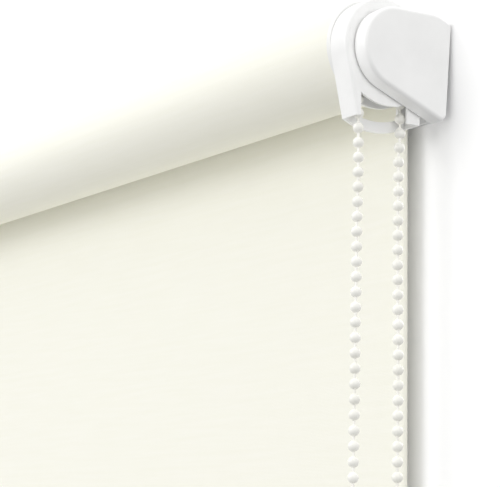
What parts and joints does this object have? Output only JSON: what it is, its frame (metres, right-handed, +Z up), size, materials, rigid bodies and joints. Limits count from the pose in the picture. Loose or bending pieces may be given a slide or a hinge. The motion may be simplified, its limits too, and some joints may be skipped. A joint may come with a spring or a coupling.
{
  "type": "roller blind",
  "caption": "Wall-fixed roller blind with a cream cloth, a side chain drive in a moulded bracket, a sprung idle end and a bottom bar.",
  "frame": {"origin": "centre of the wall flange of the control-side bracket, on its wall face", "axes": "+X along the roller towards the control end, +Y into the wall, +Z up; the blind hangs towards -Z and lies towards -X"},
  "size_m": [0.6325, 0.048, 0.8205],
  "materials": {
    "white_abs": "moulded, satin",
    "white_acetal": "moulded, satin",
    "chain_plastic": "moulded, glossy",
    "grey_acetal": "moulded, satin",
    "coated_steel": "powder coated",
    "spring_steel": "drawn wire and bright zinc",
    "plated_pin": "nickel plated",
    "mill_aluminium": "extruded, mill finish",
    "cream_cloth": "fine plain weave, coated blackout cloth",
    "bonding_tape": "thin double-sided tape"
  },
  "bodies": {
    "mount_set": {"control_bracket_plate": "coated_steel", "control_bracket_cover": "white_abs", "chain_guard_shell": "white_abs", "chain_guard_back": "white_abs", "clutch_spindle": "grey_acetal", "spindle_screw": "spring_steel", "wrap_spring_outer": "spring_steel", "wrap_spring_inner": "spring_steel", "spindle_clip": "spring_steel", "cloth_sheet": "cream_cloth", "ball_chain_drive": "chain_plastic", "ball_chain_front": "chain_plastic", "ball_chain_loop": "chain_plastic", "ball_chain_rear": "chain_plastic", "idle_bracket_plate": "coated_steel", "idle_pin_bush": "grey_acetal", "idle_bracket_cover": "white_abs"},
    "roller": {"drive_crown": "white_acetal", "chain_sprocket": "white_acetal", "roller_tube": "mill_aluminium", "cloth_bond_tape": "bonding_tape", "cloth_roll": "cream_cloth", "idle_end_plug": "white_acetal", "idle_pin_spring": "spring_steel"},
    "idle_pin": {"idle_pin": "plated_pin"},
    "bar": {"hem_pocket": "cream_cloth", "bottom_bar": "mill_aluminium", "bar_cap_control": "white_abs", "bar_cap_idle": "white_abs"},
    "chain_clip": {"chain_connector": "chain_plastic"}
  },
  "joints": [
    {"name": "roller_spin", "type": "hinge", "parent": "mount_set", "child": "roller", "pos_m": [0, -0.027, 0.0085], "axis": [1, 0, 0], "range_deg": [0, 1919.4]},
    {"name": "bar_lift", "type": "slide", "parent": "mount_set", "child": "bar", "axis": [0, 0, 1], "range_m": [0, 0.7205], "deforming": ["cloth_sheet"]},
    {"name": "clip_travel", "type": "slide", "parent": "mount_set", "child": "chain_clip", "axis": [0, 0, 1], "range_m": [0, 0.3568]},
    {"name": "idle_pin_slide", "type": "slide", "parent": "roller", "child": "idle_pin", "axis": [1, 0, 0], "range_m": [0, 0.0065], "stiffness_N_per_m": 300, "springref_m": -0.005}
  ],
  "couplings": [
    {"joint": "bar_lift", "follows": "roller_spin", "m_per_rad": 0.0215},
    {"joint": "clip_travel", "follows": "roller_spin", "m_per_rad": 0.010648}
  ]
}
